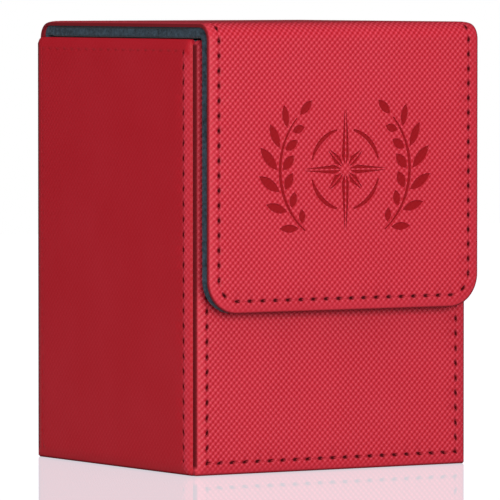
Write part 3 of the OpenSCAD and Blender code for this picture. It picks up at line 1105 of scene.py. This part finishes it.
def add_emblem(pattern, centre_s, look):
    """Presses the emblem into a pattern: its outline on the face, and a step down inside it."""
    levels = ((EMBLEM_WALL, 0.0, 0.0, 1.0), (-EMBLEM_WALL, -look.depth, 1.0, 0.1))
    for shape in emblem_outlines(look.star_points, look.leaves):
        shape = [(x * look.scale, y * look.scale) for x, y in shape]
        for distance, height, pressed, grain in levels:
            row = offset_outline(shape, distance)
            # S runs down the flap, so the drawing's height is taken away from it
            pattern.join([pattern.add(x, centre_s - y, height, pressed=pressed, grain=grain)
                          for x, y in row], True)


def clear_of_emblem(centre_s, look):
    """Whether a point of the flap's field lies outside the emblem's box."""
    half_x, half_s = (half * look.scale for half in EMBLEM_HALF)
    return lambda x, s: abs(x) > half_x or abs(s - centre_s) > half_s


# ---- stitches ----

# How far a stitch stands above the leather, how deep its ends go, how far it is let down into the
# groove as a whole, and what share of its length is missing at each end
STITCH_RISE = 0.12
STITCH_SINK = 0.42
STITCH_LIFT = -0.14
STITCH_GAP = 0.2


def stitch_tree():
    """Geometry nodes that lay one stitch on each edge of a row of needle holes."""
    tree = bpy.data.node_groups.new("lay_stitches", "GeometryNodeTree")
    face = tree.interface
    face.new_socket("Holes", in_out="INPUT", socket_type="NodeSocketGeometry")
    for label in ("Thread", "Rise", "Sink", "Lift", "Gap"):
        face.new_socket(label, in_out="INPUT", socket_type="NodeSocketFloat")
    face.new_socket("Finish", in_out="INPUT", socket_type="NodeSocketMaterial")
    face.new_socket("Stitches", in_out="OUTPUT", socket_type="NodeSocketGeometry")
    source = add(tree, "NodeGroupInput").outputs

    ends = add(tree, "GeometryNodeInputMeshEdgeVertices").outputs
    along = add(tree, "ShaderNodeVectorMath", {"operation": "SUBTRACT"},
                in_0=ends["Position 2"], in_1=ends["Position 1"]).outputs[0]
    kept = add(tree, "GeometryNodeStoreNamedAttribute",
               {"data_type": "FLOAT_VECTOR", "domain": "EDGE"},
               Geometry=source["Holes"], Name="along", Value=along).outputs[0]
    spots = add(tree, "GeometryNodeMeshToPoints", {"mode": "EDGES"}, Mesh=kept).outputs[0]
    along, outward = (add(tree, "GeometryNodeInputNamedAttribute", {"data_type": "FLOAT_VECTOR"},
                          Name=name).outputs["Attribute"] for name in ("along", "outward"))
    turn = add(tree, "FunctionNodeAlignRotationToVector", {"axis": "Z"}, Vector=outward).outputs[0]
    turn = add(tree, "FunctionNodeAlignRotationToVector", {"axis": "X", "pivot_axis": "Z"},
               Rotation=turn, Vector=along).outputs[0]
    length = add(tree, "ShaderNodeVectorMath", {"operation": "LENGTH"}, in_0=along).outputs["Value"]

    # The stitch is drawn one unit long and stretched to the distance between its holes
    end_x = add(tree, "ShaderNodeMath", SUBTRACT, in_0=0.5, in_1=source["Gap"])
    low = add(tree, "ShaderNodeMath", SUBTRACT, in_0=source["Lift"], in_1=source["Sink"])
    high = add(tree, "ShaderNodeMath", ADD, in_0=source["Lift"], in_1=source["Rise"])
    corners = []
    for share, z in ((-1.0, low), (-0.72, high), (0.72, high), (1.0, low)):
        x = add(tree, "ShaderNodeMath", MULTIPLY, in_0=end_x, in_1=share)
        corners.append(add(tree, "ShaderNodeCombineXYZ", X=x, Z=z))
    left, left_pull, right_pull, right = corners
    radius = add(tree, "ShaderNodeMath", MULTIPLY, in_0=source["Thread"], in_1=0.5)
    arch = add(tree, "GeometryNodeCurvePrimitiveBezierSegment", {"mode": "POSITION"}, Resolution=8,
               Start=left, Start_Handle=left_pull, End_Handle=right_pull, End=right).outputs[0]
    ring = add(tree, "GeometryNodeCurvePrimitiveCircle", {"mode": "RADIUS"}, Resolution=6,
               Radius=radius).outputs[0]
    stitch = add(tree, "GeometryNodeCurveToMesh", Curve=arch, Profile_Curve=ring,
                 Fill_Caps=True).outputs[0]
    scale = add(tree, "ShaderNodeCombineXYZ", X=length, Y=MM, Z=MM).outputs[0]
    laid = add(tree, "GeometryNodeInstanceOnPoints", Points=spots, Instance=stitch, Rotation=turn,
               Scale=scale).outputs[0]
    real = add(tree, "GeometryNodeRealizeInstances", Geometry=laid).outputs[0]
    rounded = add(tree, "GeometryNodeSetShadeSmooth", Geometry=real).outputs[0]
    done = add(tree, "GeometryNodeSetMaterial", Geometry=rounded,
               Material=source["Finish"]).outputs[0]
    add(tree, "NodeGroupOutput", Stitches=done)
    return tree


def sew(name, rows, place):
    """Stitches along rows of needle holes, as one plain mesh."""
    sewing = bpy.context.scene.deck_sewing
    vertices, edges, outward = [], [], []
    for row in rows:
        first = len(vertices)
        for x, s in row:
            here = Vector(place(x, s, 0.0))
            vertices.append(here)
            outward.append((Vector(place(x, s, 1.0)) - here).normalized())
        edges += [(first + k, first + k + 1) for k in range(len(row) - 1)]
    mesh = bpy.data.meshes.new(name + "_holes")
    mesh.from_pydata(vertices, edges, [])
    held = mesh.attributes.new("outward", "FLOAT_VECTOR", "POINT")
    held.data.foreach_set("vector", [c for v in outward for c in v])
    holes = bpy.data.objects.new(name + "_holes", mesh)
    bpy.context.scene.collection.objects.link(holes)

    tree = bpy.data.node_groups.get("lay_stitches") or stitch_tree()
    modifier = holes.modifiers.new("stitches", "NODES")
    modifier.node_group = tree
    inputs = {"Thread": sewing.thread, "Rise": STITCH_RISE, "Sink": STITCH_SINK,
              "Lift": STITCH_LIFT, "Gap": STITCH_GAP, "Finish": finish_of("thread")}
    for item in tree.interface.items_tree:
        if item.name in inputs:
            modifier[item.identifier] = inputs[item.name]
    evaluated = holes.evaluated_get(bpy.context.evaluated_depsgraph_get())
    plain = bpy.data.meshes.new_from_object(evaluated)
    plain.name = name
    holes.modifiers.clear()
    bpy.data.objects.remove(holes)
    layer = plain.uv_layers.get("pattern_mm") or plain.uv_layers.new(name="pattern_mm")
    flat = []
    for loop in plain.loops:
        point = plain.vertices[loop.vertex_index].co / MM
        flat += [point.x + point.y, point.z]
    layer.data.foreach_set("uv", flat)
    piece = bpy.data.objects.new(name, plain)
    bpy.context.scene.collection.objects.link(piece)
    return piece


# ---- pieces ----

# Grain left on ironed leather, and how much more there is along a side panel's front edge
IRONED_GRAIN = 0.12
MARGIN_GRAIN = 0.68
# The painted shade in the upright slits: how dark, how far in from the edge it starts and over
# what run, and how far it stops from the foot and from the rim
SLIT_SHADE = 0.9
SLIT_START = 0.6
SLIT_RUN = 0.35
SLIT_FOOT = 2.1
SLIT_TOP = 0.8
# The same for the painted shade along a panel's foot
FOOT_SHADE = 0.75
FOOT_START = 0.6
FOOT_RUN = 0.4
# The same for the painted shade where the strip's leather turns under
TURN_SHADE = 0.8
TURN_START = 0.5
TURN_RUN = 0.35
# How far the lining's face is rounded in from its edge, and how far it falls there
LINING_EDGE = 0.9
LINING_DROP = 0.45
# How far the lining's hidden side is pulled in
LINING_TUCK = 0.6
# Strength of the needle holes on runs that have been ironed
REAR_HOLES = 0.12
UPPER_HOLES = 0.1
# Faces that meet at more than this angle, in degrees, meet at a sharp crease
CREASE_ANGLE = 50


def plain_grain(x, s):
    return 1.0


def side_grain(x, s):
    """The side panels' leather is ironed flat, except along their front edge, at high X."""
    inset = (LEFT_HIGH.y - LEFT_LOW.y) / 2 - x
    ironed = clamp((inset - SEAM_INSET + 0.4) / 0.8)
    below_rim = clamp((BOX_H - s - 2.0) / 3.0)
    return IRONED_GRAIN + MARGIN_GRAIN * (1 - ironed) * below_rim


def foot_shade(x, s):
    """A panel gets painted shade along its foot, where its leather turns under."""
    return FOOT_SHADE * near(s, FOOT_START, FOOT_RUN)


def slit_shade(x, s):
    """Painted shade on the front and back panels' upright edges, which stand in the corner slits, and
    along their foot.
    """
    upright = 0.0
    if SLIT_FOOT < s < BOX_H - SLIT_TOP:
        upright = SLIT_SHADE * near(FRONT_HIGH.x - abs(x), SLIT_START, SLIT_RUN)
    return max(upright, foot_shade(x, s))


def dress(piece, slot):
    """Smooth shading and a finish."""
    smooth_by_angle(piece, CREASE_ANGLE)
    piece.data.materials.append(finish_of(slot))


def covered_panel(name, node, width, height, place, skip=(), grain=plain_grain, sewn=True,
                  painted_shade=no_painted_shade, faint=None, ironed=False):
    """A board panel covered in leather, its edges turned and its border sewn."""
    edges = bpy.context.scene.deck_edges
    cut = Cut(width / 2, 0.0, height, edges.panel_foot, edges.panel_corner)
    seam = SEAM_INSET
    middle = seam + SEAM_INSIDE
    top = Pattern()
    rows = add_turned_edge(top, cut, seam, edges.panel_drop, 1.0, seam - SEAM_OUTSIDE, grain,
                           painted_shade)
    if sewn:
        add_seam(top, cut, seam, seam, edges.panel_drop, grain, skip, faint)
    stations = even_stations(middle, height - middle, FIELD_STEP)
    add_field(top, cut, middle, stations, FIELD_STEP, grain)
    pocket = Cut(width / 2 - BOARD_INSET, BOARD_INSET, height - BOARD_INSET)
    back = back_pattern(top, rows[0], lambda s: PANEL_T, [height / 2], cut, 0.0, pocket,
                        BOARD_INSET)
    piece = build_shell(name, top, rows[0], back, place, PANEL_T - edges.panel_drop)
    # Painted shade that darkens and reddens the ironed side panels
    if ironed:
        flat = [near(g, 0.5, 0.3) for g in top.grains] + [0.0] * len(back.points)
        piece.data.attributes.new("ironed", "FLOAT", "POINT").data.foreach_set("value", flat)
    dress(piece, "grained_leather")
    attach(piece, "box")
    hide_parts(node)
    if not sewn:
        return
    holes = needle_holes(cut, seam, bpy.context.scene.deck_sewing.pitch, skip)
    stitches = sew(name + "_stitches", holes, place)
    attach(stitches, "box")
    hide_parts(node.replace("_leather", "_stitching"))


def along_diagonal(start, end, direction):
    """Keeps only the part of a stretch that runs along the diagonal."""
    along = Vector(direction).normalized()
    return start, start + along * (end - start).dot(along)


def bend_points():
    """Start and end of the soft stretch over the hinge and over the fold, in metres."""
    hinge_start = Vector((0, TAIL_LINING_LOW.y, HINGE_LOW.z + 0.2)) * MM
    hinge_end = Vector((0, LID_HIGH.y, LID_LINING_LOW.z)) * MM
    # The fold's stretch is put past the front panel's face, clear of the panel's top
    fold_start = Vector((0, FRONT_LOW.y - 0.2, LID_LINING_LOW.z - 0.3)) * MM
    fold_end = Vector((0, FLAP_LOW.y + LAYERS_T, FLAP_HIGH.z)) * MM
    return (along_diagonal(hinge_start, hinge_end, (0, -1, 1)),
            along_diagonal(fold_start, fold_end, (0, -1, -1)))


def strip_shade(cut, x, s):
    """The leather gets painted shade where it turns under to meet the lining."""
    inside = cut.half - abs(x)
    if cut.end_turned:
        corner = cut.end_corner
        out_x, out_s = max(0.0, corner - inside), max(0.0, s - cut.end + corner)
        inside = corner - math.hypot(out_x, out_s)
    return TURN_SHADE * near(inside, TURN_START, TURN_RUN)


def strip_stations(cut, seam):
    """Rows of points for the strip's flat middle."""
    last = cut.end - seam - SEAM_INSIDE if cut.end_turned else cut.end
    return ROUTE.stations(cut.start, last, FIELD_STEP)


def strip_leather(name, cut, nodes, bend, emblem):
    """One stretch of the lid strip's leather."""
    edges = bpy.context.scene.deck_edges
    look = bpy.context.scene.deck_emblem
    seam = SEAM_INSET
    top = Pattern()
    rows = add_turned_edge(top, cut, seam, edges.strip_drop, 0.6, seam - SEAM_OUTSIDE, plain_grain,
                           lambda x, s: strip_shade(cut, x, s))
    add_seam(top, cut, seam, seam, edges.strip_drop, plain_grain)
    centre = ROUTE.fold_end + ROUTE.bend_z - look.height
    add_field(top, cut, seam + SEAM_INSIDE, strip_stations(cut, seam), FIELD_STEP, plain_grain,
              clear_of_emblem(centre, look) if emblem else anywhere)
    if emblem:
        add_emblem(top, centre, look)
    rim = rim_loop(top, cut, rows)
    back = back_pattern(top, rim, leather_depth, ROUTE.stations(cut.start, cut.end, 6.0), cut)
    piece = build_shell(name, top, rim, back, ROUTE.place, SHELL_T - edges.strip_drop, -1)
    dress(piece, "grained_leather")
    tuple(bend[0])
    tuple(bend[1])
    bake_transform(piece)
    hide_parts(*nodes)


def lining_place(x, s, height):
    """Places the lining's visible face, on the inside of the strip. It bunches up a little on
    the inside of the fold."""
    away = (s - (ROUTE.fold_start + ROUTE.fold_end) / 2) / BUNCH_REACH
    over_lid = (smooth((s - ROUTE.hinge_end) / PLUMP_RUN)
                * smooth((ROUTE.fold_start - s) / PLUMP_RUN))
    depth = ROUTE.swell(s, TAIL_LAYERS_T, LAYERS_T)
    depth += BUNCH * math.exp(-away * away) + PLUMP * over_lid
    share = max(0.0, 1 + height / LINING_T)
    return ROUTE.place(x, s, -depth * share - leather_depth(s) * (1 - share))


def strip_lining(name, cut, nodes, bend):
    """One stretch of the lid strip's microfibre lining, wrapped round its pad."""
    seam = SEAM_INSET - bpy.context.scene.deck_lining.inset
    top = Pattern()
    rows = add_turned_edge(top, cut, LINING_EDGE, LINING_DROP, 0.8, LINING_EDGE, plain_grain)
    add_seam(top, cut, seam, LINING_EDGE, LINING_DROP, plain_grain)
    add_field(top, cut, seam + SEAM_INSIDE, strip_stations(cut, seam), 4.0, plain_grain)
    rim = rim_loop(top, cut, rows)
    back = back_pattern(top, rim, lambda s: LINING_T, ROUTE.stations(cut.start, cut.end, 6.0), cut,
                        LINING_TUCK)
    piece = build_shell(name, top, rim, back, lining_place, LINING_T)
    dress(piece, "microfibre")
    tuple(bend[0])
    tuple(bend[1])
    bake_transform(piece)
    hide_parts(*nodes)


class DECKBOX_OT_panels(bpy.types.Operator):
    """Cover the front, back, side and bottom boards in leather and sew their borders"""
    bl_idname = "deck_box.panels"
    bl_label = "Covered Panels"

    def execute(self, context):
        end_width = FRONT_HIGH.x - FRONT_LOW.x
        # With corners rounder than the seam's inset, run 1 is a corner's arc, and is left unsewn
        unsewn = () if context.scene.deck_edges.panel_corner < SEAM_INSET else (1,)
        covered_panel("front_panel", "front_panel_leather", end_width, BOX_H, front_place,
                      unsewn, painted_shade=slit_shade)
        covered_panel("back_panel", "back_panel_leather", end_width, BOX_H, back_place,
                      unsewn, painted_shade=slit_shade)
        # Run 0 is at the back of the left panel, run 2 at the back of the right one, run 1 is the
        # upper one, and run 3, the lower one, is left unsewn
        side_width = LEFT_HIGH.y - LEFT_LOW.y
        side_height = BOX_H + SIDE_RISE
        covered_panel("left_panel", "left_panel_leather", side_width, side_height, left_place,
                      (3,), side_grain, painted_shade=foot_shade,
                      faint={0: REAR_HOLES, 1: UPPER_HOLES}, ironed=True)
        covered_panel("right_panel", "right_panel_leather", side_width, side_height, right_place,
                      (3,), lambda x, s: side_grain(-x, s), painted_shade=foot_shade,
                      faint={2: REAR_HOLES, 1: UPPER_HOLES}, ironed=True)
        covered_panel("bottom_panel", "bottom_panel_leather", BOTTOM_HIGH.x - BOTTOM_LOW.x,
                      BOTTOM_HIGH.y - BOTTOM_LOW.y, bottom_place, sewn=False)
        return {"FINISHED"}


class DECKBOX_OT_lid_strip(bpy.types.Operator):
    """Make the leather and lining that run from the tail over the lid to the flap"""
    bl_idname = "deck_box.lid_strip"
    bl_label = "Lid and Flap"

    def execute(self, context):
        hinge, fold = bend_points()
        inset = context.scene.deck_lining.inset
        rear = Cut(STRIP_HALF, 0.0, ROUTE.middle, start_turned=False, end_turned=False)
        front = Cut(STRIP_HALF, ROUTE.middle, ROUTE.end, end_corner=FLAP_CORNER, start_turned=False)
        strip_leather("lid_leather_rear", rear, ("tail_leather", "hinge_leather"),
                      hinge, False)
        strip_leather("lid_leather_front", front, ("lid_leather", "fold_leather", "flap_leather"),
                      fold, True)
        for name, cut, bodies, bend, nodes in (
                ("lid_stitches_rear", rear, ("box", "lid"), hinge, ()),
                ("lid_stitches_front", front, ("lid", "flap"), fold,
                 ("lid_stitching", "flap_stitching"))):
            holes = needle_holes(cut, SEAM_INSET, context.scene.deck_sewing.pitch)
            stitches = sew(name, holes, ROUTE.place)
            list(bodies)
            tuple(bend[0])
            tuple(bend[1])
            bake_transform(stitches)
            if nodes:
                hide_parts(*nodes)

        rear = Cut(STRIP_HALF - inset, 0.0, ROUTE.middle, start_turned=False, end_turned=False)
        front = Cut(STRIP_HALF - inset, ROUTE.middle, ROUTE.end - inset,
                    end_corner=FLAP_CORNER - inset, start_turned=False)
        strip_lining("lid_lining_rear", rear, ("tail_lining", "hinge_lining"), hinge)
        strip_lining("lid_lining_front", front, ("lid_lining", "fold_lining", "flap_lining"),
                     fold)
        return {"FINISHED"}


class DECKBOX_OT_inner_parts(bpy.types.Operator):
    """Give the boards, pads, magnets and tray lining their finishes"""
    bl_idname = "deck_box.inner_parts"
    bl_label = "Boards, Pads and Magnets"

    def execute(self, context):
        slots = {row["node"]: row["material_slot"] for row in frame["record"]["subparts"]}
        for node, part in frame["nodes"].items():
            part.data.materials.clear()
            part.data.materials.append(finish_of(slots[node]))
        return {"FINISHED"}


# What the camera looks at, in millimetres, and the width of its sensor
AIM = (-0.21, FRONT_LOW.y + 37.25, 51.24)
SENSOR_WIDTH = 36.0
# What the softboxes face, and each one's name, place and size, in metres
BOX_MIDDLE = (0.0, 0.0, 0.055)
SOFTBOXES = (
    ("key", (-0.24, -1.02, 0.25), (0.7, 0.4)),
    ("side", (-1.03, -0.22, 0.3), (0.6, 0.6)),
    ("top", (0.0, -0.15, 1.0), (0.8, 0.8)),
)
FLOOR_CORNERS = ((-0.5, -1.1, 0), (1.3, -1.1, 0), (1.3, 1.2, 0), (-0.5, 1.2, 0))
# Brightness of the surround to any other ray
OTHER_SKY = 0.05
# How much of the table's white is its own glow, and how strongly it mirrors
FLOOR_GLOW_SHARE = 0.94
FLOOR_MIRROR = 0.425


def floor_material():
    """White acrylic table top: glowing white to the camera, with a mirror image of the box, and
    plain matt white to the light that falls on the box."""
    material, tree = new_material("white_acrylic")
    matt = add(tree, "ShaderNodeBsdfDiffuse", Color=(0.9, 0.9, 0.9, 1.0)).outputs[0]
    bounce = add(tree, "ShaderNodeBsdfDiffuse", Color=(0.4, 0.4, 0.4, 1.0)).outputs[0]
    glow = add(tree, "ShaderNodeEmission", Color=(1.04, 1.0, 1.08, 1.0), Strength=1.12).outputs[0]
    mirror = add(tree, "ShaderNodeBsdfGlossy", Color=(1.0, 1.0, 1.0, 1.0), Roughness=0.0).outputs[0]
    seen = add(tree, "ShaderNodeLightPath").outputs["Is Camera Ray"]
    base = add(tree, "ShaderNodeMixShader", in_0=FLOOR_GLOW_SHARE, in_1=matt, in_2=glow)
    shown = add(tree, "ShaderNodeMixShader", in_0=FLOOR_MIRROR, in_1=base, in_2=mirror)
    final = add(tree, "ShaderNodeMixShader", in_0=seen, in_1=bounce, in_2=shown)
    add(tree, "ShaderNodeOutputMaterial", Surface=final)
    return material


def add_sheet(name, corners, material):
    """A flat rectangle of the studio."""
    mesh = bpy.data.meshes.new(name)
    mesh.from_pydata(corners, [], [(0, 1, 2, 3)])
    mesh.materials.append(material)
    sheet = bpy.data.objects.new(name, mesh)
    bpy.context.scene.collection.objects.link(sheet)


def add_softbox(name, location, size, power):
    """A rectangular lamp that faces the middle of the box."""
    light = bpy.data.lights.new(name, "AREA")
    light.shape = "RECTANGLE"
    light.size, light.size_y = size
    light.energy = power
    lamp = bpy.data.objects.new(name, light)
    lamp.location = location
    towards = Vector(BOX_MIDDLE) - Vector(location)
    lamp.rotation_euler = towards.to_track_quat("-Z", "Y").to_euler()
    bpy.context.scene.collection.objects.link(lamp)


class DECKBOX_OT_stage(bpy.types.Operator):
    """Set up the white table, the softboxes and the camera"""
    bl_idname = "deck_box.stage"
    bl_label = "Studio"

    def execute(self, context):
        scene = context.scene
        look = scene.deck_stage
        aim = Vector(AIM) * MM
        turn, lift = look.azimuth, look.elevation
        away = Vector((-math.sin(turn) * math.cos(lift), -math.cos(turn) * math.cos(lift),
                       math.sin(lift)))
        camera = bpy.data.objects.new("camera", bpy.data.cameras.new("camera"))
        camera.data.lens = look.focal_length
        camera.data.sensor_width = SENSOR_WIDTH
        camera.location = aim + away * look.distance
        camera.rotation_euler = (-away).to_track_quat("-Z", "Y").to_euler()
        scene.collection.objects.link(camera)
        scene.camera = camera

        add_sheet("floor", FLOOR_CORNERS, floor_material())
        for name, location, size in SOFTBOXES:
            add_softbox(name + "_softbox", location, size, getattr(look, name + "_power"))
        world = bpy.data.worlds.new("studio")
        world.use_nodes = True
        tree = world.node_tree
        tree.nodes.clear()
        # White to the camera and in the table's mirror image, dim where it lights the box
        path = add(tree, "ShaderNodeLightPath").outputs
        seen = add(tree, "ShaderNodeMath", MAXIMUM, in_0=path["Is Camera Ray"],
                   in_1=path["Is Singular Ray"])
        dim = add(tree, "ShaderNodeMath", MULTIPLY, in_0=path["Is Diffuse Ray"], in_1=look.sky)
        level = add(tree, "ShaderNodeMath", MAXIMUM, in_0=seen, in_1=dim)
        level = add(tree, "ShaderNodeMath", MAXIMUM, in_0=level, in_1=OTHER_SKY)
        sky = add(tree, "ShaderNodeBackground", Color=(1, 1, 1, 1), Strength=level).outputs[0]
        add(tree, "ShaderNodeOutputWorld", Surface=sky)
        scene.world = world
        scene.view_settings.view_transform = "Standard"
        return {"FINISHED"}


class DECKBOX_PT_sidebar(bpy.types.Panel):
    """Lists the steps that dress the card deck box"""
    bl_idname = "DECKBOX_PT_sidebar"
    bl_label = "Deck Box"
    bl_space_type = "VIEW_3D"
    bl_region_type = "UI"
    bl_category = "Deck Box"

    def draw(self, context):
        for step in STEPS:
            self.layout.operator(step.bl_idname)
        for name in GROUPS:
            group = getattr(context.scene, name)
            box = self.layout.box()
            for key in group.bl_rna.properties.keys():
                if key not in ("rna_type", "name"):
                    box.prop(group, key)


STEPS = (DECKBOX_OT_stage, DECKBOX_OT_panels, DECKBOX_OT_lid_strip, DECKBOX_OT_inner_parts)
CLASSES = tuple(GROUPS.values()) + STEPS + (DECKBOX_PT_sidebar,)


def register():
    for cls in CLASSES:
        bpy.utils.register_class(cls)
    for name, group in GROUPS.items():
        setattr(bpy.types.Scene, name, PointerProperty(type=group))


def unregister():
    for name in GROUPS:
        delattr(bpy.types.Scene, name)
    for cls in reversed(CLASSES):
        bpy.utils.unregister_class(cls)


def main():
    register()
    bpy.ops.deck_box.stage()
    bpy.ops.deck_box.panels()
    bpy.ops.deck_box.lid_strip()
    bpy.ops.deck_box.inner_parts()


if __name__ == "__main__":
    main()
